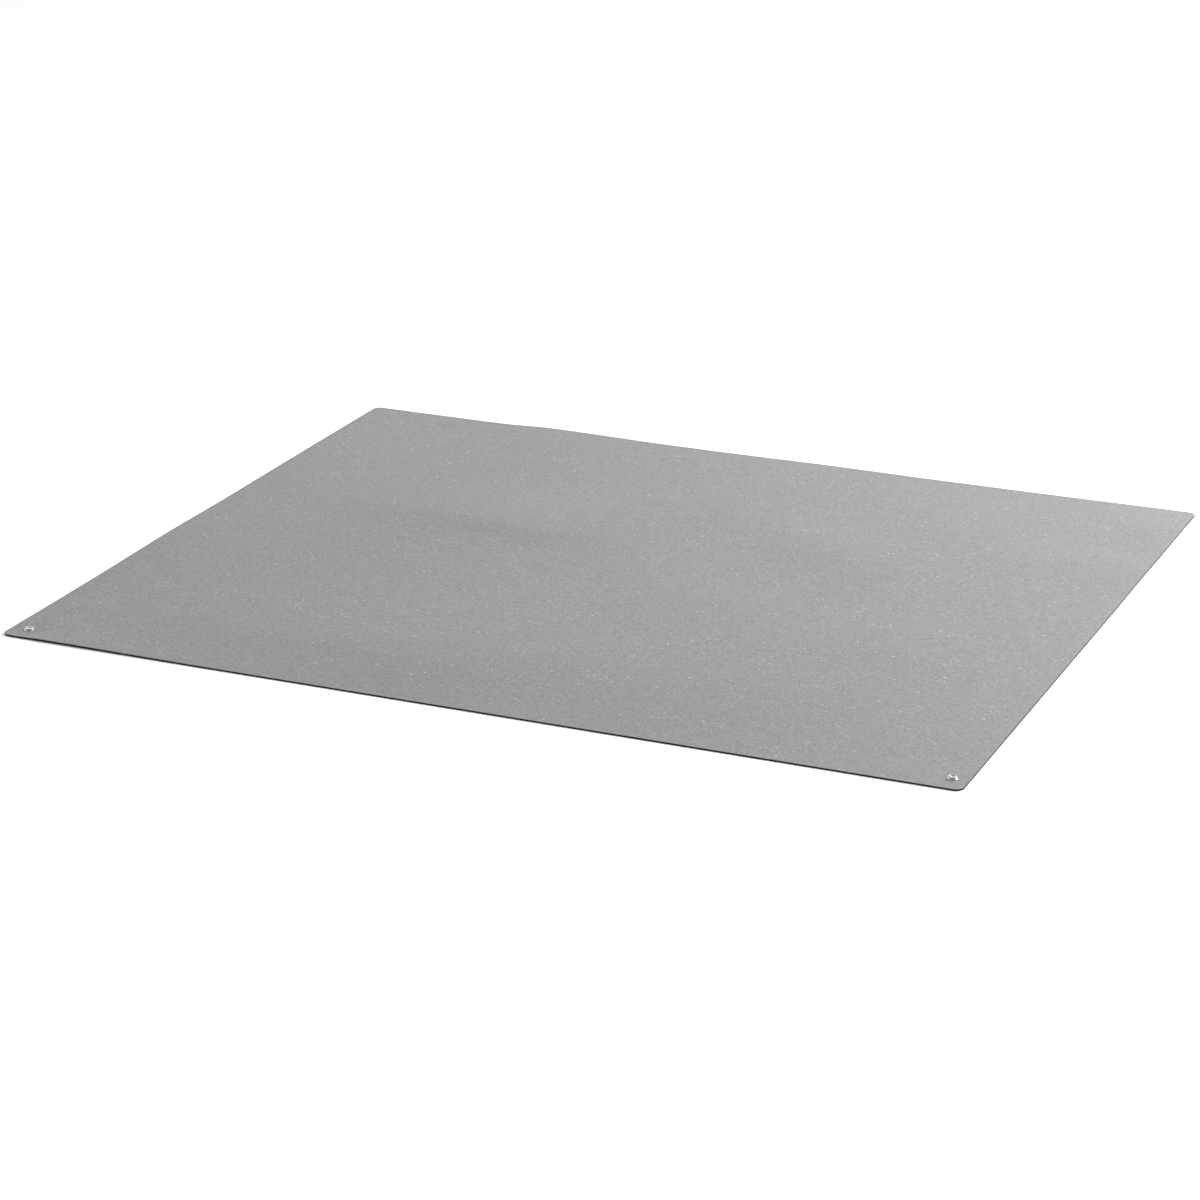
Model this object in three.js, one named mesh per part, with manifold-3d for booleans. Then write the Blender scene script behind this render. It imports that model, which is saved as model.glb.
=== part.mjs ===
// A floor mat for static-sensitive work: a thin rubber sheet of two bonded layers that lies flat,
// with a metal press stud near each front corner where a grounding lead clips on.
//
// Millimetres, +Z up. X runs along the long edges, the front edge with the studs is at -Y, and the
// origin is the middle of the mat at floor level.

import * as THREE from 'three';
import { mergeVertices } from 'three/addons/utils/BufferGeometryUtils.js';
import Module from 'manifold-3d';

const wasm = await Module();
wasm.setup();

// Rubber sheet
const MAT_LENGTH = 1200; // along X
const MAT_WIDTH = 1000; // along Y
const WEAR_THICKNESS = 0.4; // flecked grey layer that is walked on
const BASE_THICKNESS = 1.8; // black conductive layer against the floor
const CORNER_RADIUS = 10;

// Places of the studs, in from the nearest side edge and in from the front edge
const LEFT_STUD_FROM_SIDE = 23.5;
const LEFT_STUD_FROM_FRONT = 25;
const RIGHT_STUD_FROM_SIDE = 19;
const RIGHT_STUD_FROM_FRONT = 27.5;

// Press stud: thin sheet drawn up into a hollow knob, with a cup down its middle
const STUD_SHEET = 0.4; // metal thickness
const STUD_HEIGHT = 3; // from the mat to the top of the knob
const FLANGE_DIAMETER = 12.4;
const RIM_RADIUS = 0.42; // rolled bead round the flange's edge
const KNOB_DIAMETER = 9.8;
const KNOB_BULGE = 0.5; // how far the knob swells out past its neck
const KNOB_LENGTH = 1.9; // swollen part, down from the top
const SHOULDER_RADIUS = 0.7; // outer edge of the knob's flat top
const LIP_RADIUS = 0.4; // inner edge of the flat top, down into the cup
const HOLLOW_WIDTH = 0.4; // between the neck's wall and the cup's wall

// Tubular rivet: a flat head let into the underside, and a barrel rolled over inside the cup
const HEAD_DIAMETER = 12;
const HEAD_THICKNESS = 0.5;
const BARREL_DIAMETER = 4;
const BARREL_WALL = 1;
const ROLL_HEIGHT = 1.7; // rolled end, above the floor of the cup
const ROLL_CLEARANCE = 0.8; // between the rolled end and the cup's wall

const RIVET_CLEARANCE = 0.3; // round the rivet, in the rubber and in the stud
const CIRCLE_STEPS = 32;
const CURVE_STEPS = 4;

// Sizes that follow from those above
const MAT_THICKNESS = BASE_THICKNESS + WEAR_THICKNESS;
const HOLE_RADIUS = BARREL_DIAMETER / 2 + RIVET_CLEARANCE;
const NECK_RADIUS = KNOB_DIAMETER / 2 - KNOB_BULGE;
const CUP_RADIUS = NECK_RADIUS - 2 * STUD_SHEET - HOLLOW_WIDTH;
const ROLL_RADIUS = CUP_RADIUS - ROLL_CLEARANCE;
const STUD_PLACES = [
  {
    side: 'left',
    x: -MAT_LENGTH / 2 + LEFT_STUD_FROM_SIDE,
    y: -MAT_WIDTH / 2 + LEFT_STUD_FROM_FRONT,
  },
  {
    side: 'right',
    x: MAT_LENGTH / 2 - RIGHT_STUD_FROM_SIDE,
    y: -MAT_WIDTH / 2 + RIGHT_STUD_FROM_FRONT,
  },
];

const greyRubber = { color: 0x9fa0a0, roughness: 0.75, metalness: 0 };
const blackRubber = { color: 0x1b1b1c, roughness: 0.85, metalness: 0 };
const nickelPlate = { color: 0xc9c7c1, roughness: 0.3, metalness: 1 };

function mesh(name, geometry, look) {
  const made = new THREE.Mesh(geometry, new THREE.MeshStandardMaterial(look));
  made.name = name;
  return made;
}

// The mat's outline from above: a rectangle with round corners.
function matOutline() {
  const x = MAT_LENGTH / 2 - CORNER_RADIUS;
  const y = MAT_WIDTH / 2 - CORNER_RADIUS;
  const outline = new THREE.Shape();
  outline.absarc(x, y, CORNER_RADIUS, 0, Math.PI / 2);
  outline.absarc(-x, y, CORNER_RADIUS, Math.PI / 2, Math.PI);
  outline.absarc(-x, -y, CORNER_RADIUS, Math.PI, 1.5 * Math.PI);
  outline.absarc(x, -y, CORNER_RADIUS, 1.5 * Math.PI, 2 * Math.PI);
  outline.closePath();
  return outline;
}

// A flat layer of the sheet, standing on z = 0.
function layer(outline, thickness) {
  return new THREE.ExtrudeGeometry(outline, {
    depth: thickness,
    bevelEnabled: false,
    curveSegments: CIRCLE_STEPS / 2,
  });
}

// A solid of revolution about Z, from a profile of radius and height.
function turned(profile) {
  return new THREE.LatheGeometry(profile, CIRCLE_STEPS).rotateX(Math.PI / 2);
}

// One closed geometry as a solid that can be cut.
function solid(geometry) {
  geometry.deleteAttribute('normal');
  geometry.deleteAttribute('uv');
  const merged = mergeVertices(geometry);
  return new wasm.Manifold(
    new wasm.Mesh({
      numProp: 3,
      vertProperties: new Float32Array(merged.attributes.position.array),
      triVerts: new Uint32Array(merged.index.array),
    }),
  );
}

function fromSolid(body) {
  const cut = body.getMesh();
  const geometry = new THREE.BufferGeometry();
  geometry.setAttribute('position', new THREE.BufferAttribute(cut.vertProperties, 3));
  geometry.setIndex(new THREE.BufferAttribute(cut.triVerts, 1));
  geometry.computeVertexNormals();
  return geometry;
}

// The upper layer has one plain hole for each rivet's barrel.
function wearLayer() {
  const outline = matOutline();
  for (const { x, y } of STUD_PLACES) {
    outline.holes.push(new THREE.Path().absarc(x, y, HOLE_RADIUS, 0, 2 * Math.PI, true));
  }
  return layer(outline, WEAR_THICKNESS);
}

// The lower layer has the same holes, each widened from below to take the rivet's head flush.
function baseLayer() {
  const headRoom = HEAD_DIAMETER / 2 + RIVET_CLEARANCE;
  const past = 1; // the cutter runs out past both faces
  const cutter = turned([
    new THREE.Vector2(0, -past),
    new THREE.Vector2(headRoom, -past),
    new THREE.Vector2(headRoom, HEAD_THICKNESS),
    new THREE.Vector2(HOLE_RADIUS, HEAD_THICKNESS),
    new THREE.Vector2(HOLE_RADIUS, BASE_THICKNESS + past),
    new THREE.Vector2(0, BASE_THICKNESS + past),
  ]);
  let body = solid(layer(matOutline(), BASE_THICKNESS));
  for (const { x, y } of STUD_PLACES) {
    body = body.subtract(solid(cutter.clone().translate(x, y, 0)));
  }
  return fromSolid(body);
}

// The stud stands on z = 0. Its section is one strip of sheet: beaded flange, neck, knob, flat top,
// then the cup's wall and its floor round the rivet. The strip is hollow from below.
function pressStud() {
  const knob = KNOB_DIAMETER / 2;
  const shoulder = knob - SHOULDER_RADIUS;
  const swell = STUD_HEIGHT - KNOB_LENGTH;
  const widest = STUD_HEIGHT - SHOULDER_RADIUS;
  const lip = CUP_RADIUS + LIP_RADIUS;
  const rim = FLANGE_DIAMETER / 2 - RIM_RADIUS;
  const rimEnd = Math.PI - Math.asin(STUD_SHEET / RIM_RADIUS - 1); // where the bead meets the flange
  const section = new THREE.Path();
  section.moveTo(rim, 0);
  section.absarc(rim, RIM_RADIUS, RIM_RADIUS, -Math.PI / 2, Math.PI / 2);
  section.absarc(rim, RIM_RADIUS, RIM_RADIUS, Math.PI / 2, rimEnd);
  section.lineTo(NECK_RADIUS, STUD_SHEET);
  section.lineTo(NECK_RADIUS, swell);
  section.quadraticCurveTo(knob, swell, knob, widest);
  section.absarc(shoulder, STUD_HEIGHT - SHOULDER_RADIUS, SHOULDER_RADIUS, 0, Math.PI / 2);
  section.lineTo(lip, STUD_HEIGHT);
  section.absarc(lip, STUD_HEIGHT - LIP_RADIUS, LIP_RADIUS, Math.PI / 2, Math.PI);
  section.lineTo(CUP_RADIUS, STUD_SHEET);
  section.lineTo(HOLE_RADIUS, STUD_SHEET);
  section.lineTo(HOLE_RADIUS, 0);
  section.lineTo(CUP_RADIUS + STUD_SHEET, 0);
  section.lineTo(CUP_RADIUS + STUD_SHEET, STUD_HEIGHT - STUD_SHEET);
  section.lineTo(shoulder, STUD_HEIGHT - STUD_SHEET);
  section.lineTo(knob - STUD_SHEET, widest);
  section.quadraticCurveTo(knob - STUD_SHEET, swell, NECK_RADIUS - STUD_SHEET, swell);
  section.lineTo(NECK_RADIUS - STUD_SHEET, 0);
  section.lineTo(rim, 0);
  return turned(section.getPoints(CURVE_STEPS));
}

// The rivet is drawn in the stud's own frame: its head lies at the mat's underside, and its barrel
// comes up through both layers and the stud, to roll over on the floor of the cup.
function rivet() {
  const barrel = BARREL_DIAMETER / 2;
  const bore = barrel - BARREL_WALL;
  const headTop = HEAD_THICKNESS - MAT_THICKNESS;
  const pull = STUD_SHEET + (ROLL_HEIGHT * 4) / 3; // the curve rises to 3/4 of its control points
  const section = new THREE.Path();
  section.moveTo(0, -MAT_THICKNESS);
  section.lineTo(HEAD_DIAMETER / 2, -MAT_THICKNESS);
  section.lineTo(HEAD_DIAMETER / 2, headTop);
  section.lineTo(barrel, headTop);
  section.lineTo(barrel, STUD_SHEET);
  section.lineTo(ROLL_RADIUS, STUD_SHEET);
  section.bezierCurveTo(ROLL_RADIUS, pull, bore, pull, bore, STUD_SHEET);
  section.lineTo(bore, headTop);
  section.lineTo(0, headTop);
  return turned(section.getPoints(CURVE_STEPS + 2));
}

const mat = new THREE.Group();
mat.add(mesh('conductive_base', baseLayer(), blackRubber));

// Both layers meet in one plane, at the height that the lower one's vertices hold.
const wear = mesh('wear_layer', wearLayer(), greyRubber);
wear.position.z = Math.fround(BASE_THICKNESS);
mat.add(wear);

for (const { side, x, y } of STUD_PLACES) {
  const fastening = new THREE.Group();
  fastening.position.set(x, y, MAT_THICKNESS);
  fastening.add(mesh(`${side}_snap_stud`, pressStud(), nickelPlate));
  fastening.add(mesh(`${side}_snap_rivet`, rivet(), nickelPlate));
  mat.add(fastening);
}

export default mat;
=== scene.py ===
"""Dresses a thin two-layer rubber floor mat: flecked grey top, black base, two metal press studs."""

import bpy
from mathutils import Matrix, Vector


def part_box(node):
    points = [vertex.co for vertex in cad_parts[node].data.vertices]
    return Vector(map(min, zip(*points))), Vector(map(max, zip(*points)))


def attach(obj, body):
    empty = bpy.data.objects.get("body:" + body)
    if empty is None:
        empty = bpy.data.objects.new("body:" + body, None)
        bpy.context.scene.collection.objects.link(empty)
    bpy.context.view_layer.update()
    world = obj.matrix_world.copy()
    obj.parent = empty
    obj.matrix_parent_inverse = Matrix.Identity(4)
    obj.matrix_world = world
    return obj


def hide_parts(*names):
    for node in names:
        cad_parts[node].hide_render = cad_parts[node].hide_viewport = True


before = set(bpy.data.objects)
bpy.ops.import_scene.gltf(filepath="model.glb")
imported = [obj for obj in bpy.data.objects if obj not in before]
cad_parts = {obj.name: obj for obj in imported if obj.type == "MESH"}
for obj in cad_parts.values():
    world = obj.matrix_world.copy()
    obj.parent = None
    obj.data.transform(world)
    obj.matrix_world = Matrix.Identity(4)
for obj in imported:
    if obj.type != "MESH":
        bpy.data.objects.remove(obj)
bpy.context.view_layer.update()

import math

import bmesh
import bpy
import numpy as np
from bpy.props import FloatProperty, FloatVectorProperty, IntProperty, PointerProperty
from bpy.types import Operator, Panel, PropertyGroup

bl_info = {
    "name": "Press-stud floor mat",
    "version": (1, 0, 0),
    "blender": (4, 5, 0),
    "location": "3D View > Sidebar > Floor mat",
    "description": "A flecked two-layer rubber floor mat with a press stud near each front corner",
    "category": "Add Mesh",
}

MM = 0.001
SIDES = ("left", "right")
BODY = "root"
SAME_PLACE = 1e-7  # points closer than this are one point
RUBBER_CREASE = math.radians(32)  # faces that meet at more than this keep a sharp edge
METAL_CREASE = math.radians(28)

WEAR_BOX = [np.array(corner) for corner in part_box("wear_layer")]
BASE_BOX = [np.array(corner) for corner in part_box("conductive_base")]
STUD_BOXES = {side: [np.array(c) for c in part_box(f"{side}_snap_stud")] for side in SIDES}
RIVET_BOX = [np.array(corner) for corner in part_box("left_snap_rivet")]
STUD_CENTRES = {side: (low + high)[:2] / 2 for side, (low, high) in STUD_BOXES.items()}


# Settings


def length(name, description, default, **more):
    """A setting in metres, shown in the scene's unit."""
    return FloatProperty(
        name=name, description=description, default=float(default), unit="LENGTH", precision=5, **more
    )


def colour(name, description, default):
    """A setting that holds a colour."""
    return FloatVectorProperty(
        name=name, description=description, default=default, subtype="COLOR", size=3, min=0, max=1
    )


class SheetSettings(PropertyGroup):
    """Sizes and colours of the two rubber layers"""

    corner_radius: length("Corner radius", "Round corner of the cut sheet, seen from above", 10 * MM)
    edge_round: length("Edge rounding", "Softened top edge of the cut", 0.18 * MM)
    wave_height: length("Wave height", "Lift of the tallest single hump of the sheet", 2.4 * MM)
    grid_step: length("Grid step", "Side of the surface's squares, away from the studs", 9 * MM)
    press_depth: length("Press depth", "How far a stud's flange sinks the rubber round it", 0.12 * MM)
    barrel_hole: length("Barrel hole", "Radius of the hole for a rivet's barrel", 2.3 * MM)
    head_room: length("Head recess", "Radius of the recess for a rivet's head", 6.3 * MM)
    head_depth: length("Head depth", "Depth of the recess for a rivet's head", 0.5 * MM)
    grey: colour("Grey rubber", "Ground colour of the upper layer", (0.1745, 0.1745, 0.1745))
    pale: colour("Pale flecks", "Colour of the brightest flecks", (0.52, 0.52, 0.515))
    dark: colour("Dark flecks", "Colour of the darkest flecks", (0.085, 0.085, 0.086))
    black: colour("Black rubber", "Ground colour of the lower layer", (0.0035, 0.0035, 0.004))


class SnapSettings(PropertyGroup):
    """Sizes and colours of the press studs and their rivets"""

    sheet: length("Metal thickness", "Thickness of the drawn metal", 0.4 * MM)
    rim_radius: length("Rim radius", "About half the height of the flange's crowned rim", 0.42 * MM)
    neck_radius: length("Neck radius", "Outside of the knob's neck", 4.4 * MM)
    knob_radius: length("Knob radius", "Outside of the knob where it is widest", 4.9 * MM)
    cup_radius: length("Cup radius", "Inside of the cup in the knob's top", 3.2 * MM)
    roll_radius: length("Roll radius", "Outside of the rivet's rolled end", 2.4 * MM)
    barrel_radius: length("Barrel radius", "Outside of the rivet's barrel", 2.0 * MM)
    bore_radius: length("Bore radius", "Inside of the rivet's barrel", 1.0 * MM)
    circle_steps: IntProperty(
        name="Circle steps", description="Faces round each turned piece", default=112, min=16
    )
    nickel: colour("Nickel", "Colour of the plated metal", (0.51, 0.507, 0.50))
    # Tarnish is also the colour that the painted shade in the studs' corners and cups and the rivets' bores
    # darkens to.
    tarnish: colour("Tarnish", "Colour of the metal in its corners", (0.055, 0.054, 0.052))
    tin: colour("Tin", "Colour of the rivets' bright metal", (0.82, 0.815, 0.80))


class StudioSettings(PropertyGroup):
    """The floor, the lights and the camera"""

    floor_colour: colour("Floor", "Colour of the pale floor", (0.93, 0.93, 0.93))
    floor_size: length("Floor size", "Side of the square floor", 40.0)
    sky_strength: FloatProperty(
        name="Sky strength", description="Brightness of the soft light from all round", default=1.27
    )
    shade_strength: FloatProperty(
        name="Shade strength", description="Brightness of the dim part of the room in front", default=0.2
    )
    key_power: FloatProperty(
        name="Key power", description="Power of the large soft light at the back", default=150, unit="POWER"
    )
    side_power: FloatProperty(
        name="Side power", description="Power of the small low light at the left", default=7, unit="POWER"
    )
    lens: FloatProperty(name="Lens", description="Focal length, mm", default=107.8, min=1)
    view_azimuth: FloatProperty(
        name="View azimuth",
        description="Turn of the camera round the mat, from straight in front",
        default=math.radians(23.252),
        subtype="ANGLE",
    )
    view_elevation: FloatProperty(
        name="View elevation",
        description="Height of the camera above the floor, as an angle",
        default=math.radians(20.201),
        subtype="ANGLE",
    )
    view_distance: length("View distance", "From the camera to the point that it looks at", 4.4091)
    view_target: FloatVectorProperty(
        name="View target",
        description="Point on the floor that the camera looks at",
        default=(0.0087, -0.1047, 0.0),
        subtype="TRANSLATION",
    )


class FloorMatSettings(PropertyGroup):
    """All the mat's settings"""

    sheet: PointerProperty(type=SheetSettings)
    snaps: PointerProperty(type=SnapSettings)
    studio: PointerProperty(type=StudioSettings)


# Shapes


def smooth_step(t):
    """Rises from 0 to 1 with level ends: 3 t squared less 2 t cubed, t held between 0 and 1."""
    t = np.clip(t, 0, 1)
    return t * t * (3 - 2 * t)


def lift(x, y, height):
    """Height of the sheet off the floor at (x, y).

    A sum of broad humps, each a bell along and across its own direction, times height. Its right and
    left sides may differ in width. It fades to nothing round the studs, so the metal sits level:
    level is how far it stays flat from a stud's middle, and fade the way from there to full height.
    """
    level, fade = 9 * MM, 30 * MM
    humps = (  # middle x, y; direction in degrees; half-length; widths right, left; share of height
        (-0.325, 0.50, 80, 0.30, 0.115, 0.045, 1.00),
        (0.02, 0.36, 62, 0.34, 0.080, 0.080, 0.42),
        (0.56, 0.42, 20, 0.10, 0.090, 0.090, 0.55),
        (-0.62, -0.10, 10, 0.16, 0.110, 0.110, 0.62),
        (-0.53, -0.52, 5, 0.13, 0.055, 0.060, 0.55),
        (-0.63, 0.30, 90, 0.24, 0.10, 0.10, 0.30),
        (0.62, 0.24, -8, 0.22, 0.070, 0.070, 0.48),
        (-0.24, 0.108, -2, 0.17, 0.046, 0.120, 0.88),
        (-0.02, 0.020, -55, 0.07, 0.045, 0.090, 0.34),
        (0.19, 0.190, -25, 0.15, 0.062, 0.062, 0.46),
        (0.12, -0.060, -10, 0.13, 0.110, 0.060, 0.42),
        (0.06, -0.290, 45, 0.10, 0.060, 0.050, 0.30),
        (0.38, -0.135, 0, 0.09, 0.050, 0.090, 0.38),
        (-0.18, -0.360, -2, 0.24, 0.075, 0.110, 0.44),
    )
    total = np.zeros(np.broadcast(x, y).shape)
    for middle_x, middle_y, turn, along, right, left, share in humps:
        c = math.cos(math.radians(turn))
        s = math.sin(math.radians(turn))
        u = ((x - middle_x) * c + (y - middle_y) * s) / along
        v = -(x - middle_x) * s + (y - middle_y) * c
        v = np.where(v < 0, v / right, v / left)
        total = total + share * np.exp(-u * u - v * v)
    for centre in STUD_CENTRES.values():
        away = np.hypot(x - centre[0], y - centre[1])
        total = total * smooth_step((away - level) / fade)
    return height * total


def painted_light_and_shade(x, y, height):
    """Painted light and shade on the grey rubber at (x, y), 1 on the whole.

    It is painted lighter where the sheet leans to the back and darker where it leans to the front, by its
    rise along Y times lean, and a few soft patches of painted shade and painted light, each a bell along
    and across, are added.
    """
    step, lean = 2 * MM, -1.6
    rise = (lift(x, y + step, height) - lift(x, y - step, height)) / (2 * step)
    # Soft patches: a negative change is painted shade, a positive one painted light.
    marks = (  # middle x, y; half-length, half-width; change
        (-0.10, -0.46, 0.34, 0.15, -0.050),
        (-0.28, 0.00, 0.20, 0.15, -0.030),
        (0.26, -0.40, 0.16, 0.12, -0.030),
        (-0.55, 0.40, 0.09, 0.12, 0.030),
    )
    total = 1 + lean * rise
    for middle_x, middle_y, along, across, change in marks:
        total = total + change * np.exp(-(((x - middle_x) / along) ** 2) - ((y - middle_y) / across) ** 2)
    return total


def press(x, y, depth, reach):
    """Dip of the rubber round each stud, whose flange has the radius reach.

    It is a ring, a bell across, that is deepest just outside the flange's edge.
    """
    deepest, width = 1.06 * reach, 0.16 * reach
    total = np.zeros(np.broadcast(x, y).shape)
    for centre in STUD_CENTRES.values():
        away = np.hypot(x - centre[0], y - centre[1])
        total = total + np.exp(-(((away - deepest) / width) ** 2))
    return depth * total


def grid_lines(low, high, step, blocks):
    """Evenly spaced lines from low to high, with finer ones across each block.

    Each stretch between two block edges is divided evenly into steps no longer than step, and each
    block into its own count.
    """
    pieces, at = [], low
    for start, end, count in blocks:
        plain = max(1, math.ceil((start - at) / step))
        pieces += [np.linspace(at, start, plain, endpoint=False)]
        pieces += [np.linspace(start, end, count, endpoint=False)]
        at = end
    plain = max(1, math.ceil((high - at) / step))
    return np.concatenate(pieces + [np.linspace(at, high, plain + 1)])


class Plan:
    """The sheet's plan: a grid of lines whose rows shorten round the corners, with a block cut out
    of it round each stud.

    Point (u, row) lies at x = u times the half-length of its row. A row in a corner, at angle a, has
    the half-length of the straight part plus radius times cos a, and lies radius times sin a past it.
    """

    BLOCK = 11 * MM  # half-side of the block round a stud
    STEPS = 16  # squares along a block's side
    CORNER_STEPS = 10
    PATCH_RINGS = (0.86, 0.74, 0.64, 0.56, 0.50, 0.44, 0.37, 0.24, 0.10, 0.0)  # border 1, circle 0

    def __init__(self, half_x, half_y, radius, step):
        self.radius = radius
        self.straight_x = half_x - radius
        self.straight_y = half_y - radius
        centres = [STUD_CENTRES[side] for side in SIDES]
        middle_y = np.mean([c[1] for c in centres])
        across = [(c[0] - self.BLOCK, c[0] + self.BLOCK, self.STEPS) for c in centres]
        along = [(middle_y - self.BLOCK, middle_y + self.BLOCK, self.STEPS)]
        self.u = grid_lines(-half_x, half_x, step, across) / half_x
        rows = grid_lines(-self.straight_y, self.straight_y, step, along)
        turn = np.linspace(0, math.pi / 2, self.CORNER_STEPS + 1)[1:]
        self.row_y = np.concatenate([np.full(len(turn), rows[0]), rows, np.full(len(turn), rows[-1])])
        self.row_turn = np.concatenate([-turn[::-1], np.zeros(len(rows)), turn])
        self.blocks = []
        row = int(np.argmin(np.abs(self.row_y - along[0][0]) + np.abs(self.row_turn)))
        for start, _, _ in across:
            self.blocks.append((int(np.argmin(np.abs(self.u * half_x - start))), row))

    def points(self, inset):
        """x and y of the grid, for the outline drawn in by inset."""
        radius = self.radius - inset
        x = self.u[None, :] * (self.straight_x + radius * np.cos(self.row_turn))[:, None]
        y = (self.row_y + radius * np.sin(self.row_turn))[:, None] + 0 * x
        return x, y

    def outward(self, loop):
        """Unit vectors out of the outline, at the points of the loop round it."""
        rows, columns = np.divmod(loop, len(self.u))
        turn = self.row_turn[rows]
        side = np.where(columns == 0, -1.0, np.where(columns == len(self.u) - 1, 1.0, 0.0))
        end = (side == 0) | np.isclose(np.abs(turn), math.pi / 2)
        return np.stack(
            [np.where(end, 0, side * np.cos(turn)), np.where(end, np.sign(turn), np.sin(turn))], 1
        )

    def numbers(self):
        """The grid's point numbers, row by row."""
        return np.arange(len(self.row_y) * len(self.u)).reshape(len(self.row_y), len(self.u))

    @staticmethod
    def loop_round(block):
        """The border of an array of point numbers, anticlockwise from its low corner."""
        return np.concatenate(
            [block[0, :-1], block[:-1, -1], block[-1, :0:-1], block[:0:-1, 0]]
        )


class Shell:
    """Points and four-sided faces of one closed surface, collected ring by ring."""

    def __init__(self):
        self.points = []
        self.faces = []
        self.count = 0

    def add(self, points):
        """Takes an array of points and gives the number of its first one."""
        first = self.count
        self.points.append(np.asarray(points, float).reshape(-1, 3))
        self.count += len(self.points[-1])
        return first

    def band(self, first, second):
        """Joins two closed rings of point numbers, facing left of the first ring's direction."""
        self.faces.append(np.stack([first, np.roll(first, -1), np.roll(second, -1), second], 1))

    def cells(self, numbers, keep, up):
        """The squares of a grid of point numbers, for those that keep marks, facing up or down."""
        quads = np.stack(
            [numbers[:-1, :-1], numbers[:-1, 1:], numbers[1:, 1:], numbers[1:, :-1]], -1
        )[keep]
        self.faces.append(quads if up else quads[:, ::-1])

    def mesh(self, name):
        """A Blender mesh, without the points that no face uses."""
        points, faces = np.concatenate(self.points), np.concatenate(self.faces)
        used, corners = np.unique(faces, return_inverse=True)
        return mesh_from(name, points[used], corners.reshape(faces.shape), RUBBER_CREASE)


def mesh_from(name, points, quads, crease):
    """A smooth mesh of four-sided faces, sharp where they meet at more than crease."""
    made = bpy.data.meshes.new(name)
    made.vertices.add(len(points))
    made.vertices.foreach_set("co", points.astype(np.float32).ravel())
    made.loops.add(quads.size)
    made.loops.foreach_set("vertex_index", quads.astype(np.int32).ravel())
    made.polygons.add(len(quads))
    made.polygons.foreach_set("loop_start", np.arange(0, quads.size, 4, dtype=np.int32))
    made.polygons.foreach_set("use_smooth", np.ones(len(quads), bool))
    made.update(calc_edges=True)
    made.validate()
    made.set_sharp_from_angle(angle=crease)
    return made


def layer_shell(plan, top, bottom, edge_round, wells, shape):
    """One layer of the sheet as a closed shell.

    Top and bottom are the plan's grid at two heights, and a wall that starts with a rounded edge
    joins their outlines. wells lists (radius, height) down the hole at each stud, from the top
    circle to the bottom one. shape(x, y, z, face) gives the finished height of each point.
    """
    shell = Shell()
    upper_first, upper_circles = layer_face(shell, plan, top, edge_round, wells[0][0], shape, True)
    lower_first, lower_circles = layer_face(shell, plan, bottom, 0.0, wells[-1][0], shape, False)
    edge = plan.loop_round(plan.numbers())
    last = rounded_edge(shell, plan, edge, edge + upper_first, top, edge_round, shape)
    shell.band(edge + lower_first, last)
    for (upper, centre, angle), (lower, _, _) in zip(upper_circles, lower_circles):
        stud_well(shell, upper, lower, centre, angle, wells, shape)
    return shell


def layer_face(shell, plan, level, inset, radius, shape, up):
    """The top or the bottom of a layer: the plan's grid, with a patch round each stud.

    A patch leads from its block's square border to a circle of the given radius. A point of ring t
    is (1 - t) times the circle's point plus t times the border's. Gives the number of the grid's
    first point and, for each stud, its circle's point numbers, centre and angles.
    """
    face = "top" if up else "bottom"
    n = plan.STEPS
    numbers = plan.numbers()
    keep = np.ones((len(plan.row_y) - 1, len(plan.u) - 1), bool)
    for column, row in plan.blocks:
        keep[row : row + n, column : column + n] = False
    x, y = plan.points(inset)
    grid = np.stack([x, y, shape(x, y, np.full(x.shape, level), face)], -1)
    first = shell.add(grid)
    shell.cells(numbers + first, keep, up)
    flat = grid.reshape(-1, 3)
    angle = np.radians(225) + np.arange(4 * n) * math.tau / (4 * n)  # from the block's low corner
    circles = []
    for (column, row), side in zip(plan.blocks, SIDES):
        border = plan.loop_round(numbers[row : row + n + 1, column : column + n + 1])
        centre = STUD_CENTRES[side]
        circle = centre + radius * np.stack([np.cos(angle), np.sin(angle)], 1)
        outer = border + first
        for t in plan.PATCH_RINGS:
            ring = (1 - t) * circle + t * flat[border, :2]
            z = shape(ring[:, 0], ring[:, 1], np.full(4 * n, level), face)
            inner = shell.add(np.column_stack([ring, z])) + np.arange(4 * n)
            shell.band(*((outer, inner) if up else (inner, outer)))
            outer = inner
        circles.append((outer, centre, angle))
    return first, circles


def rounded_edge(shell, plan, edge, above, top, edge_round, shape):
    """A quarter round down from the top's outline: at each turn, out by edge_round times its sine
    and down by edge_round times 1 less its cosine. Gives the last ring's point numbers."""
    x, y = (p.ravel()[edge] for p in plan.points(edge_round))
    out = plan.outward(edge)
    for turn in np.radians((22.5, 45, 67.5, 90)):
        ring = np.column_stack([x, y]) + out * edge_round * math.sin(turn)
        level = top - edge_round * (1 - math.cos(turn))
        z = shape(ring[:, 0], ring[:, 1], np.full(len(edge), level), "wall")
        below = shell.add(np.column_stack([ring, z])) + np.arange(len(edge))
        shell.band(below, above)
        above = below
    return above


def stud_well(shell, upper, lower, centre, angle, wells, shape):
    """The wall of the hole at a stud: circles of the radii and heights in wells, joined in turn."""
    above = upper
    for radius, level in wells[1:-1]:
        circle = centre + radius * np.stack([np.cos(angle), np.sin(angle)], 1)
        z = shape(circle[:, 0], circle[:, 1], np.full(len(angle), level), "wall")
        below = shell.add(np.column_stack([circle, z])) + np.arange(len(angle))
        shell.band(above, below)
        above = below
    shell.band(above, lower)


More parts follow.
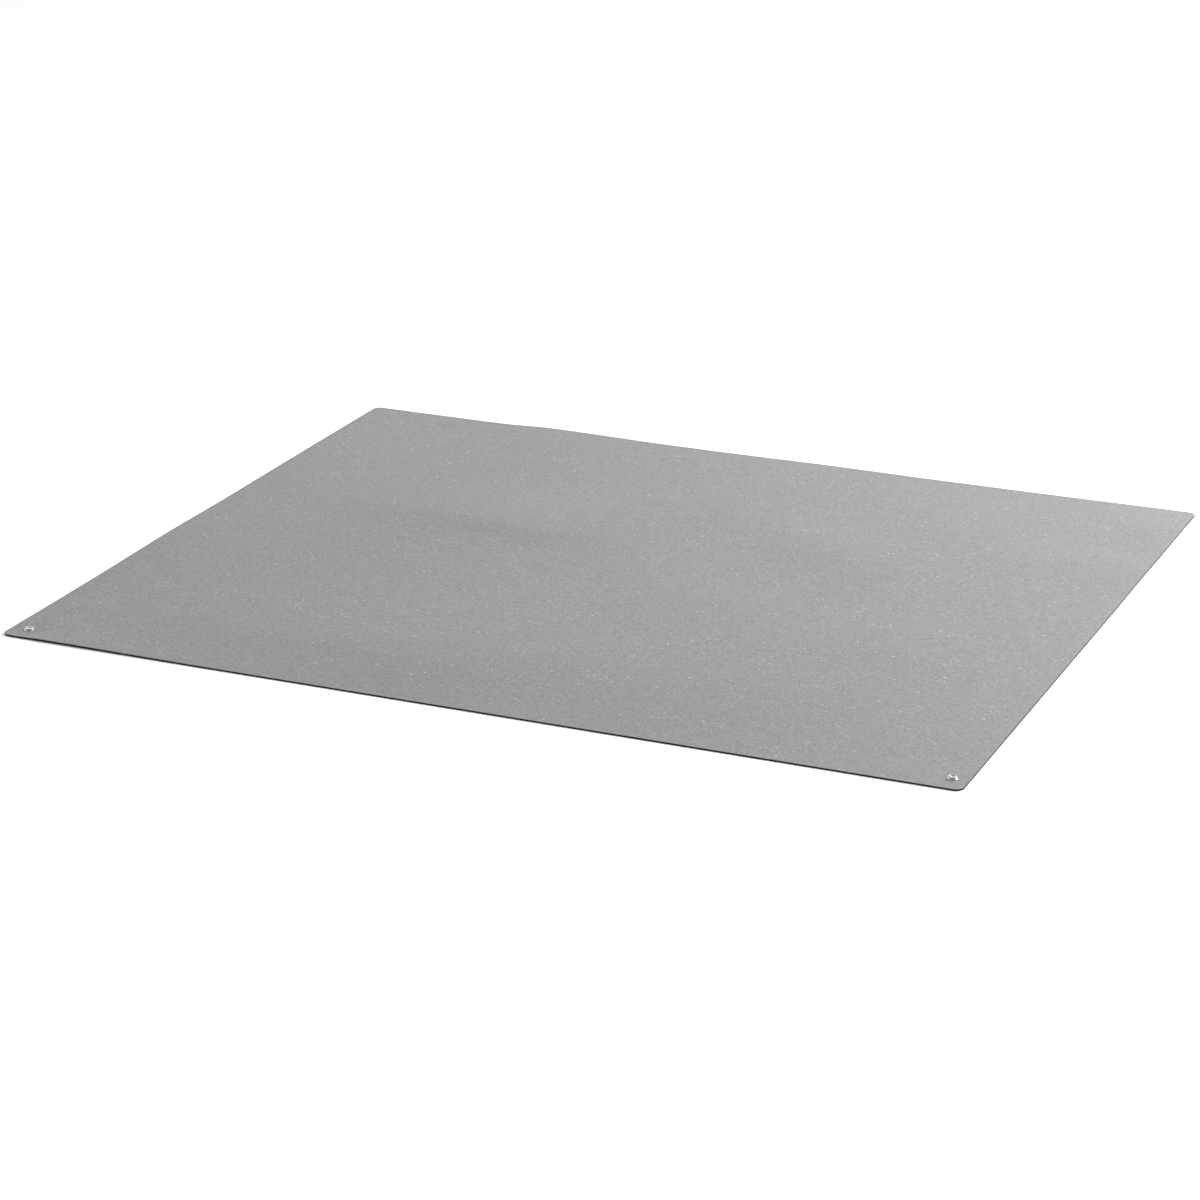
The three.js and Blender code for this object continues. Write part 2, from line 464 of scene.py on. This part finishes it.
def filleted(corners, steps=6):
    """A polyline whose corners are rounded, from rows of (x, y, radius).

    At each corner the arc touches both sides at radius times tan(half the turn) from the corner,
    and its points are swung evenly about the arc's middle. A corner that hardly turns stays a point.
    """
    straight = math.radians(89)
    corners = np.asarray(corners, float)
    line = []
    for before, here, after in zip(np.roll(corners, 1, 0), corners, np.roll(corners, -1, 0)):
        to_before, to_after = before[:2] - here[:2], after[:2] - here[:2]
        to_before /= np.linalg.norm(to_before)
        to_after /= np.linalg.norm(to_after)
        half = math.acos(np.clip(to_before @ to_after, -1, 1)) / 2
        if here[2] <= 0 or half > straight:
            line.append(here[None, :2])
            continue
        reach = here[2] / math.tan(half)
        start, end = here[:2] + to_before * reach, here[:2] + to_after * reach
        bisector = to_before + to_after
        middle = here[:2] + bisector / np.linalg.norm(bisector) * here[2] / math.sin(half)
        a, b = (math.atan2(*(p - middle)[::-1]) for p in (start, end))
        b = a + (b - a + math.pi) % math.tau - math.pi
        swing = np.linspace(a, b, steps + 1)
        line.append(middle + here[2] * np.stack([np.cos(swing), np.sin(swing)], 1))
    return np.concatenate(line)


def turned_mesh(name, section, centre, steps):
    """A solid of revolution: every (radius, height) of the closed section is swung about the
    upright axis through centre, in even steps. Points on the axis are joined into one."""
    angle = np.arange(steps) * math.tau / steps
    radius, height = section.T
    points = np.stack(
        [
            centre[0] + radius[None] * np.cos(angle)[:, None],
            centre[1] + radius[None] * np.sin(angle)[:, None],
            height[None] + 0 * angle[:, None],
        ],
        -1,
    )
    number = np.arange(points[..., 0].size).reshape(steps, -1)
    onward = np.roll(number, -1, 0)
    quads = np.stack(
        [number, onward, np.roll(onward, -1, 1), np.roll(number, -1, 1)], -1
    ).reshape(-1, 4)
    on_axis = radius < SAME_PLACE
    both = on_axis & np.roll(on_axis, -1)
    quads = quads[~np.tile(both, steps)]
    made = mesh_from(name, points.reshape(-1, 3), quads, METAL_CREASE)
    weld(made)
    return made


def weld(made):
    """Joins points in one place, such as those on an axis, and turns all faces outwards."""
    work = bmesh.new()
    work.from_mesh(made)
    bmesh.ops.remove_doubles(work, verts=work.verts, dist=SAME_PLACE)
    bmesh.ops.recalc_face_normals(work, faces=work.faces)
    work.to_mesh(made)
    work.free()
    made.set_sharp_from_angle(angle=METAL_CREASE)


def stud_section(snaps, hole, flange, foot, top):
    """The outline of a press stud's sheet metal, as radii and heights.

    Outside, from the foot up: the crowned rim, the flange, the neck, the knob that swells over it
    and the flat top. Then down the cup to its floor round the hole, and back along the underside.
    """
    t, neck, knob, cup = snaps.sheet, snaps.neck_radius, snaps.knob_radius, snaps.cup_radius
    rim = snaps.rim_radius
    crown = flange - 0.95 * MM
    crown_corner = foot + 2.55 * rim  # its rounding brings the rim itself down to 1.9 times
    rim_foot = flange - 1.45 * MM  # where the rim runs out on the flange
    waist = foot + 0.95 * MM
    swell = foot + 1.55 * MM
    return filleted(
        [
            (flange, foot, 0.12 * MM),
            (flange, foot + rim, 0.30 * MM),
            (crown, crown_corner, 0.75 * MM),
            (rim_foot, foot + t, 0.10 * MM),
            (neck, foot + t, 0.30 * MM),
            (neck, waist, 0.5 * MM),
            (knob, swell, 0.6 * MM),
            (knob, top, 0.80 * MM),
            (cup, top, 0.45 * MM),
            (cup, foot + t, 0.35 * MM),
            (hole, foot + t, 0.08 * MM),
            (hole, foot, 0),
            (cup + t, foot, 0.2 * MM),
            (cup + t, top - t, 0.05 * MM),
            (knob - t, top - t, 0.45 * MM),
            (knob - t, swell, 0.4 * MM),
            (neck - t, waist, 0.4 * MM),
            (neck - t, foot, 0.05 * MM),
        ]
    )


def rivet_section(snaps, head, under, head_top, seat, roll_top):
    """The outline of a rivet, as radii and heights: a flat head from under to head_top, a barrel up
    to its seat on the cup's floor, and the end rolled over there, round the bore."""
    barrel, bore, roll = snaps.barrel_radius, snaps.bore_radius, snaps.roll_radius
    return filleted(
        [
            (0.0, under, 0),
            (head, under, 0.18 * MM),
            (head, head_top, 0.10 * MM),
            (barrel, head_top, 0.05 * MM),
            (barrel, seat, 0),
            (roll, seat, 0.15 * MM),
            (roll, roll_top, 0.66 * MM),
            (bore, roll_top, 0.66 * MM),
            (bore, head_top, 0.10 * MM),
            (0.0, head_top, 0),
        ]
    )


def put(made, name, material, slot, *nodes):
    """Puts a mesh into the scene as a piece that stands for the named nodes."""
    made.materials.append(material)
    piece = bpy.data.objects.new(name, made)
    bpy.context.scene.collection.objects.link(piece)
    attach(piece, BODY)
    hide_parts(*nodes)
    return piece


# Finishes


class Finish:
    """A material whose nodes are added one by one, each with its inputs and settings."""

    def __init__(self, name, **fixed):
        self.material = bpy.data.materials.new(name)
        self.material.use_nodes = True
        self.tree = self.material.node_tree
        self.shader = self.tree.nodes["Principled BSDF"]
        for socket, value in fixed.items():
            self.shader.inputs[socket.replace("_", " ")].default_value = value
        self.place = self.add("TexCoord").outputs["Object"]

    def add(self, kind, inputs=None, **settings):
        """A new node. An input is a number, a colour or another node's output."""
        node = self.tree.nodes.new(f"ShaderNode{kind}")
        for key, value in settings.items():
            setattr(node, key, value)
        for socket, value in (inputs or {}).items():
            if isinstance(value, bpy.types.NodeSocket):
                self.tree.links.new(value, node.inputs[socket])
            else:
                node.inputs[socket].default_value = value
        return node

    def math(self, operation, *values):
        """One step of arithmetic."""
        return self.add("Math", dict(enumerate(values)), operation=operation).outputs[0]

    def scaled(self, colour, factor):
        """A colour times a number."""
        return self.add("VectorMath", {0: colour, "Scale": factor}, operation="SCALE").outputs[0]

    def stored(self, name):
        """The number that each point of the mesh keeps under this name."""
        return self.add("Attribute", attribute_name=name).outputs["Fac"]

    def noise(self, scale, detail, roughness, stretch=(1, 1, 1), at=(0, 0, 0)):
        """Noise about 0.5, scale in turns a metre."""
        moved = self.add(
            "Mapping", {"Vector": self.place, "Scale": stretch, "Location": at}
        ).outputs[0]
        inputs = {"Vector": moved, "Scale": scale, "Detail": detail, "Roughness": roughness}
        return self.add("TexNoise", inputs).outputs["Fac"]

    def ramp(self, value, low, high, to_low=0.0, to_high=1.0):
        """A smooth step from to_low, where value is low, to to_high, where it is high."""
        inputs = {"Value": value, 1: low, 2: high, 3: to_low, 4: to_high}
        return self.add("MapRange", inputs, interpolation_type="SMOOTHSTEP").outputs[0]

    def mix(self, share, first, second):
        """The first colour, with that share of the second in it."""
        inputs = {"Factor": share, 6: as_colour(first), 7: as_colour(second)}
        return self.add("Mix", inputs, data_type="RGBA").outputs[2]

    def bump(self, height, distance, strength, under=None):
        """Fine relief, distance high in metres, on top of the relief under it."""
        inputs = {"Height": height, "Distance": distance, "Strength": strength}
        if under is not None:
            inputs["Normal"] = under
        return self.add("Bump", inputs).outputs[0]

    def to_shader(self, **links):
        """Joins outputs to the shader's sockets of those names."""
        for socket, value in links.items():
            self.tree.links.new(value, self.shader.inputs[socket.replace("_", " ")])

    def flecks(self, spacing, size, share, seed):
        """(mask, tint) of chips set through the rubber: balls of a cell pattern, cut by the surface.

        spacing is the mean distance between chips, size a chip's radius and share how many of the
        cells hold one. tint is a number from 0 to 1 that is one chip's own.
        """
        wander = self.add(
            "TexNoise", {"Vector": self.place, "Scale": 0.9 / size, "Detail": 2.0}
        ).outputs["Color"]
        wander = self.add(
            "VectorMath", {0: wander, 1: (0.5, 0.5, 0.5)}, operation="SUBTRACT"
        ).outputs[0]
        wander = self.scaled(wander, size * 1.5)
        moved = self.add("VectorMath", {0: self.place, 1: wander}, operation="ADD").outputs[0]
        moved = self.add("Mapping", {"Vector": moved, "Location": seed}).outputs[0]
        cells = self.add("TexVoronoi", {"Vector": moved, "Scale": 1 / spacing}, feature="F1")
        one = self.add("SeparateColor", {0: cells.outputs["Color"]})
        edge = size / spacing
        inside = self.ramp(cells.outputs["Distance"], edge * 0.72, edge, 1.0, 0.0)
        chosen = self.math("LESS_THAN", one.outputs[0], share)
        return self.math("MULTIPLY", inside, chosen), one.outputs[1]

    def painted_shade_along_edges(self, reach, least):
        """Painted shade along the edges: a factor that is 1 farther than reach from the sheet's side and
        back edges, and least at them. The front edge keeps 1."""
        place = self.add("SeparateXYZ", {0: self.place})
        half_x, half_y = (WEAR_BOX[1] - WEAR_BOX[0])[:2] / 2
        sideways = self.math("ABSOLUTE", place.outputs["X"])
        sides = self.ramp(sideways, half_x - reach, half_x, 1.0, least)
        back = self.ramp(place.outputs["Y"], half_y - reach, half_y, 1.0, least)
        return self.math("MULTIPLY", sides, back)

    def painted_shade_round_studs(self, near, far, least):
        """Painted shade round the studs: a factor, least within near of a stud's middle, that rises to 1 at
        far.
        """
        factors = []
        for centre in STUD_CENTRES.values():
            middle = (centre[0], centre[1], WEAR_BOX[1][2])
            away = self.add("VectorMath", {0: self.place, 1: middle}, operation="DISTANCE")
            factors.append(self.ramp(away.outputs["Value"], near, far, least, 1.0))
        return self.math("MULTIPLY", *factors)


def as_colour(value):
    """A colour as a node's input takes it, with its fourth number, or an output as it is."""
    if isinstance(value, bpy.types.NodeSocket):
        return value
    return (*value, 1.0) if len(value) == 3 else tuple(value)


def grey_rubber(colours):
    """Matt grey rubber, full of fine pale chips and a few dark ones, with a soft moulded grain, and
    painted light and shade across it.
    """
    finish = Finish("flecked grey rubber", Specular_IOR_Level=0.40)
    grey, pale, dark = (tuple(c) for c in (colours.grey, colours.pale, colours.dark))
    broad = finish.noise(2.3, 3.0, 0.55)
    cloudy = finish.noise(38, 4.0, 0.6, at=(3, 1, 0))
    grain = finish.noise(240, 3.0, 0.62)
    ground = finish.mix(finish.ramp(broad, 0.3, 0.7), [0.975 * c for c in grey], [1.025 * c for c in grey])
    ground = finish.mix(finish.ramp(cloudy, 0.25, 0.75), ground, [1.04 * c for c in grey])
    mottled = finish.ramp(grain, 0.24, 0.76, 0.845, 1.155)
    ground = finish.scaled(ground, mottled)
    clusters = finish.ramp(finish.noise(24, 2.0, 0.5, at=(7, 3, 0)), 0.36, 0.60, 0.45, 1.0)
    chips = (  # spacing, size, share, seed; how far they cover the ground; colour
        (4.0 * MM, 1.1 * MM, 0.60, (1.3, 0.2, 0.0), 0.36, pale),
        (6.2 * MM, 1.5 * MM, 0.45, (0.1, 2.7, 0.3), 0.42, pale),
        (13.0 * MM, 2.0 * MM, 0.26, (4.2, 1.1, 0.7), 0.46, pale),
        (5.2 * MM, 1.4 * MM, 0.50, (2.6, 3.4, 0.1), 0.80, dark),
    )
    for spacing, size, share, seed, strength, chip in chips:
        mask, tint = finish.flecks(spacing, size, share, seed)
        amount = finish.math("MULTIPLY", mask, finish.ramp(tint, 0.0, 1.0, 0.35, 1.0))
        amount = finish.math("MULTIPLY", amount, clusters)
        ground = finish.mix(finish.math("MULTIPLY", amount, strength), ground, chip)
    # Painted shade round the studs and along the side and back edges, times the painted light and shade
    # that the sheet's points keep.
    painted_shading = finish.math(
        "MULTIPLY", finish.painted_shade_round_studs(6.0 * MM, 8.4 * MM, 0.66), finish.painted_shade_along_edges(4 * MM, 0.87)
    )
    painted_shading = finish.math("MULTIPLY", painted_shading, finish.stored("painted_light_and_shade"))
    ground = finish.scaled(ground, painted_shading)
    pores = finish.noise(1500, 2.0, 0.5, at=(0.4, 0.9, 0))
    scuffs = finish.ramp(finish.noise(7, 5.0, 0.7, stretch=(1.0, 2.6, 1), at=(6, 2, 0)), 0.5, 0.8)
    shine = finish.math("MULTIPLY_ADD", scuffs, -0.07, finish.ramp(grain, 0.2, 0.8, 0.60, 0.70))
    soft = finish.bump(finish.noise(210, 3.0, 0.6, at=(1, 5, 0)), 0.12 * MM, 0.5)
    fine = finish.bump(pores, 0.04 * MM, 0.8, soft)
    finish.to_shader(Base_Color=ground, Roughness=shine, Normal=fine)
    return finish.material


def black_rubber(colours):
    """Black rubber with the fine cloth print that its backing leaves, a little chalky dust and
    knife marks down the cut edge."""
    finish = Finish("black conductive rubber", Specular_IOR_Level=0.12)
    black = tuple(colours.black)
    thread = {"Vector": finish.place, "Scale": 320, "Distortion": 0.7, "Detail": 1.0, "Detail Scale": 0.2}
    threads = [
        finish.add("TexWave", thread, bands_direction=axis).outputs["Fac"] for axis in ("X", "Y")
    ]
    cloth = finish.math("MAXIMUM", *threads)
    dust = finish.ramp(finish.noise(26, 6.0, 0.68, at=(2, 7, 0)), 0.48, 0.74)
    smear = finish.ramp(finish.noise(5, 4.0, 0.6, stretch=(1, 0.3, 1)), 0.45, 0.75)
    film = finish.math("MULTIPLY", dust, finish.math("MULTIPLY_ADD", smear, 0.14, 0.05))
    dusty = finish.mix(film, black, (0.16, 0.16, 0.155))
    shine = finish.ramp(dust, 0.0, 1.0, 0.56, 0.72)
    knife = finish.noise(900, 2.0, 0.5, stretch=(1, 1, 0.06))
    weave = finish.bump(cloth, 0.10 * MM, 0.8)
    cut = finish.bump(knife, 0.03 * MM, 0.6, weave)
    finish.to_shader(Base_Color=dusty, Roughness=shine, Normal=cut)
    return finish.material


def plated_metal(name, bright, tarnish, worn):
    """Bright plated metal with small dark spots, hairline scratches, and corners darkened by tarnish and
    painted shade. More wear makes the spots darker, the scratches deeper and the shine duller."""
    finish = Finish(name, Metallic=1.0)
    # The stored corner number darkens the metal towards the tarnish colour: tarnish and painted shade in
    # its hollows.
    corner = finish.stored("corner")
    cloud = finish.noise(420, 4.0, 0.6)
    spots = finish.ramp(finish.noise(1400, 3.0, 0.6, at=(3, 3, 1)), 0.62, 0.74)
    patchy_tarnish_and_shade = finish.math("MULTIPLY_ADD", finish.ramp(cloud, 0.35, 0.7), 0.35, 0.4)
    dark = finish.math("MULTIPLY", corner, patchy_tarnish_and_shade)
    dark = finish.math("MAXIMUM", dark, finish.math("MULTIPLY", spots, 0.18 * worn))
    plate = finish.mix(dark, tuple(bright), tuple(tarnish))
    scratch = finish.noise(2600, 2.0, 0.6, stretch=(1, 0.08, 1))
    shine = finish.math(
        "MULTIPLY_ADD", finish.ramp(cloud, 0.3, 0.75), 0.12 * worn, 0.18 + 0.06 * worn
    )
    shine = finish.math("MULTIPLY_ADD", corner, 0.25, shine)
    lines = finish.bump(scratch, 0.008 * MM, 0.5 * worn)
    finish.to_shader(Base_Color=plate, Roughness=shine, Normal=lines)
    return finish.material


def pale_floor(colours):
    """A plain pale floor, all but even, with a very faint cloudiness."""
    finish = Finish("pale floor", Roughness=0.9, Specular_IOR_Level=0.1)
    paint = tuple(colours.floor_colour)
    cloudy = finish.noise(0.8, 3.0, 0.5)
    mixed = finish.mix(finish.ramp(cloudy, 0.3, 0.7), paint, [0.99 * c for c in paint])
    finish.to_shader(Base_Color=mixed)
    return finish.material


def room_light(studio):
    """Soft white light from all round, dimmer in one broad patch of the room behind the camera.

    The light's strength is a smooth step of the cosine of the angle to the patch's middle.
    """
    world = bpy.data.worlds.new("soft room light")
    world.use_nodes = True
    nodes, links = world.node_tree.nodes, world.node_tree.links
    height = math.radians(54)  # of the patch's middle, over the horizon
    outer, inner = 0.66, 0.90  # cosines at the patch's edge and where it is dimmest
    towards = (
        math.cos(height) * math.sin(studio.view_azimuth),
        -math.cos(height) * math.cos(studio.view_azimuth),
        math.sin(height),
    )
    along = nodes.new("ShaderNodeVectorMath")
    along.operation = "DOT_PRODUCT"
    links.new(nodes.new("ShaderNodeTexCoord").outputs["Generated"], along.inputs[0])
    along.inputs[1].default_value = towards
    fade = nodes.new("ShaderNodeMapRange")
    fade.interpolation_type = "SMOOTHSTEP"
    links.new(along.outputs["Value"], fade.inputs["Value"])
    steps = (outer, inner, studio.sky_strength, studio.shade_strength)
    for socket, value in enumerate(steps, start=1):
        fade.inputs[socket].default_value = value
    links.new(fade.outputs[0], nodes["Background"].inputs["Strength"])
    nodes["Background"].inputs["Color"].default_value = (1, 1, 1, 1)
    return world


def keep_numbers(made, name, value):
    """Keeps one number for each point of a mesh, for its material to read."""
    attribute = made.attributes.new(name, "FLOAT", "POINT")
    attribute.data.foreach_set("value", value.astype(np.float32))


def points_of(made):
    """The places of a mesh's points, one to a row."""
    points = np.empty(3 * len(made.vertices), np.float32)
    made.vertices.foreach_get("co", points)
    return points.reshape(-1, 3).astype(float)


# Pieces


def sheet_plan(sheet):
    """The plan that both layers share."""
    half = (WEAR_BOX[1] - WEAR_BOX[0])[:2] / 2
    return Plan(half[0], half[1], sheet.corner_radius, sheet.grid_step)


class FLOORMAT_OT_wear_layer(Operator):
    """Makes the flecked grey layer, gently waved, with a soft top edge"""

    bl_idname = "floormat.wear_layer"
    bl_label = "Wear layer"

    def execute(self, context):
        sheet = context.scene.floor_mat.sheet
        top, bottom = WEAR_BOX[1][2], WEAR_BOX[0][2]
        flange = (STUD_BOXES["left"][1] - STUD_BOXES["left"][0])[0] / 2

        def shape(x, y, z, face):
            raised = z + lift(x, y, sheet.wave_height)
            if face == "top":
                return raised - press(x, y, sheet.press_depth, flange)
            return raised

        wells = [(sheet.barrel_hole, top), (sheet.barrel_hole, bottom)]
        shell = layer_shell(sheet_plan(sheet), top, bottom, sheet.edge_round, wells, shape)
        made = shell.mesh("wear_sheet")
        x, y, z = points_of(made).T
        down = top + lift(x, y, sheet.wave_height) - z
        cut = smooth_step((down - sheet.press_depth) / (0.06 * MM))  # 1 on the cut wall
        # The cut wall of the grey rubber is painted darker by this share, as painted shade, and kept with
        # the painted light and shade of its top.
        painted_wall_shade = 0.5
        keep_numbers(made, "painted_light_and_shade", painted_light_and_shade(x, y, sheet.wave_height) * (1 - painted_wall_shade * cut))
        put(made, "wear_sheet", grey_rubber(sheet), "wear_rubber", "wear_layer")
        return {"FINISHED"}


class FLOORMAT_OT_conductive_base(Operator):
    """Makes the black layer under the grey one, with a recess for each rivet's head"""

    bl_idname = "floormat.conductive_base"
    bl_label = "Conductive base"

    def execute(self, context):
        sheet = context.scene.floor_mat.sheet
        top, bottom = BASE_BOX[1][2], BASE_BOX[0][2]
        edge_round = 0.02 * MM

        def shape(x, y, z, face):
            return z + lift(x, y, sheet.wave_height)

        wells = [
            (sheet.barrel_hole, top),
            (sheet.barrel_hole, bottom + sheet.head_depth),
            (sheet.head_room, bottom + sheet.head_depth),
            (sheet.head_room, bottom),
        ]
        shell = layer_shell(sheet_plan(sheet), top, bottom, edge_round, wells, shape)
        made = shell.mesh("base_sheet")
        put(made, "base_sheet", black_rubber(sheet), "base_rubber", "conductive_base")
        return {"FINISHED"}


class FLOORMAT_OT_snap_studs(Operator):
    """Makes the two press studs from thin metal, drawn up into a knob with a cup in its top"""

    bl_idname = "floormat.snap_studs"
    bl_label = "Snap studs"

    def execute(self, context):
        snaps, sheet = context.scene.floor_mat.snaps, context.scene.floor_mat.sheet
        metal = plated_metal("nickel plate", snaps.nickel, snaps.tarnish, 1.0)
        neck_tarnish_and_shade, cup_edge = 0.8, snaps.cup_radius + 0.1 * MM
        for side in SIDES:
            low, high = STUD_BOXES[side]
            flange, foot, top = (high - low)[0] / 2, low[2], high[2]
            name = f"{side}_stud_metal"
            section = stud_section(snaps, sheet.barrel_hole, flange, foot, top)
            made = turned_mesh(name, section, STUD_CENTRES[side], snaps.circle_steps)
            points = points_of(made)
            radius = np.hypot(*(points[:, :2] - STUD_CENTRES[side]).T)
            height = points[:, 2] - foot
            # The corner number darkens the metal towards the tarnish colour: round the neck's foot it is
            # tarnish and painted shade, down the cup it is painted shade, darkest at the cup's floor.
            by_neck = np.exp(-(((radius - snaps.neck_radius) / (0.5 * MM)) ** 2))
            by_foot = np.exp(-height / (0.8 * MM))
            in_cup = (radius < cup_edge) * np.clip(1 - height / (top - foot), 0, 1)
            keep_numbers(made, "corner", np.clip(neck_tarnish_and_shade * by_neck * by_foot + in_cup, 0, 1))
            put(made, name, metal, "snap_metal", f"{side}_snap_stud")
        return {"FINISHED"}


class FLOORMAT_OT_snap_rivets(Operator):
    """Makes the rivets: a flat head under the mat and a barrel rolled over in the stud's cup"""

    bl_idname = "floormat.snap_rivets"
    bl_label = "Snap rivets"

    def execute(self, context):
        snaps, sheet = context.scene.floor_mat.snaps, context.scene.floor_mat.sheet
        metal = plated_metal("worn tin plate", snaps.tin, snaps.tarnish, 1.4)
        head = (RIVET_BOX[1] - RIVET_BOX[0])[0] / 2
        under, roll_top = RIVET_BOX[0][2], RIVET_BOX[1][2]
        head_top = under + sheet.head_depth
        seat = STUD_BOXES["left"][0][2] + snaps.sheet
        section = rivet_section(snaps, head, under, head_top, seat, roll_top)
        in_bore, dark_depth = snaps.bore_radius * 1.02, 1.2 * MM
        for side in SIDES:
            name = f"{side}_rivet_metal"
            made = turned_mesh(name, section, STUD_CENTRES[side], snaps.circle_steps)
            points = points_of(made)
            radius = np.hypot(*(points[:, :2] - STUD_CENTRES[side]).T)
            # Painted shade down the bore: the metal is darkened towards the tarnish colour, more the deeper
            # it lies.
            deep = (radius < in_bore) * np.clip((roll_top - points[:, 2]) / dark_depth, 0, 1)
            keep_numbers(made, "corner", deep * (points[:, 2] > under + 0.1 * MM))
            put(made, name, metal, "snap_metal", f"{side}_snap_rivet")
        return {"FINISHED"}


class FLOORMAT_OT_studio(Operator):
    """Makes the pale floor, the soft lights and the camera"""

    bl_idname = "floormat.studio"
    bl_label = "Studio"

    def execute(self, context):
        scene, studio = context.scene, context.scene.floor_mat.studio
        half = studio.floor_size / 2
        drop = 0.02 * MM  # keeps the floor's face out of the mat's
        corners = np.array([(-half, -half), (half, -half), (half, half), (-half, half)])
        points = np.column_stack([corners, np.full(4, -drop)])
        made = mesh_from("floor", points, np.arange(4)[None], RUBBER_CREASE)
        made.materials.append(pale_floor(studio))
        floor = bpy.data.objects.new("floor", made)
        scene.collection.objects.link(floor)

        scene.world = room_light(studio)
        scene.view_settings.view_transform = "Standard"

        self.light(scene, "key", studio.key_power, place=(1.9, 1.9, 1.6), target=(0.35, 0.3, 0), size=1.8)
        self.light(
            scene, "side", studio.side_power, place=(-2.4, -0.9, 0.45), target=(0, -0.4, 0), size=0.8
        )
        self.camera(scene, studio)
        return {"FINISHED"}

    @staticmethod
    def camera(scene, studio):
        """A camera that looks at the target from its azimuth, elevation and distance."""
        azimuth, elevation = studio.view_azimuth, studio.view_elevation
        level = studio.view_distance * math.cos(elevation)
        target = np.array(studio.view_target)
        data = bpy.data.cameras.new("view")
        data.lens = studio.lens
        data.sensor_width = 36.0
        data.clip_end = 200
        camera = bpy.data.objects.new("view", data)
        camera.location = target + (
            level * math.sin(azimuth),
            -level * math.cos(azimuth),
            studio.view_distance * math.sin(elevation),
        )
        camera.rotation_euler = (math.pi / 2 - elevation, 0, azimuth)
        scene.collection.objects.link(camera)
        bpy.context.scene.camera = camera

    @staticmethod
    def light(scene, name, power, place, target, size):
        """A square soft light at place, turned to face target."""
        data = bpy.data.lights.new(name, "AREA")
        data.energy = power
        data.size = size
        data.shape = "SQUARE"
        lamp = bpy.data.objects.new(name, data)
        x, y, z = np.array(target) - np.array(place)
        lamp.location = place
        lamp.rotation_euler = (math.atan2(math.hypot(x, y), -z), 0, math.atan2(-x, y))
        scene.collection.objects.link(lamp)


class FLOORMAT_PT_sidebar(Panel):
    """Lists the mat's pieces and settings"""

    bl_idname = "FLOORMAT_PT_sidebar"
    bl_label = "Floor mat"
    bl_space_type = "VIEW_3D"
    bl_region_type = "UI"
    bl_category = "Floor mat"

    def draw(self, context):
        settings = context.scene.floor_mat
        for operator in OPERATORS:
            self.layout.operator(operator.bl_idname)
        for group in (settings.sheet, settings.snaps, settings.studio):
            box = self.layout.box()
            for name in group.__annotations__:
                box.prop(group, name)


OPERATORS = (
    FLOORMAT_OT_wear_layer,
    FLOORMAT_OT_conductive_base,
    FLOORMAT_OT_snap_studs,
    FLOORMAT_OT_snap_rivets,
    FLOORMAT_OT_studio,
)
CLASSES = (
    SheetSettings,
    SnapSettings,
    StudioSettings,
    FloorMatSettings,
    *OPERATORS,
    FLOORMAT_PT_sidebar,
)


def register():
    """Makes the classes and the scene's settings known to Blender."""
    for each in CLASSES:
        bpy.utils.register_class(each)
    bpy.types.Scene.floor_mat = PointerProperty(type=FloorMatSettings)


def unregister():
    """Takes them out again, in the opposite order."""
    del bpy.types.Scene.floor_mat
    for each in reversed(CLASSES):
        bpy.utils.unregister_class(each)


def main():
    register()
    bpy.ops.floormat.wear_layer()
    bpy.ops.floormat.conductive_base()
    bpy.ops.floormat.snap_studs()
    bpy.ops.floormat.snap_rivets()
    bpy.ops.floormat.studio()


if __name__ == "__main__":
    main()
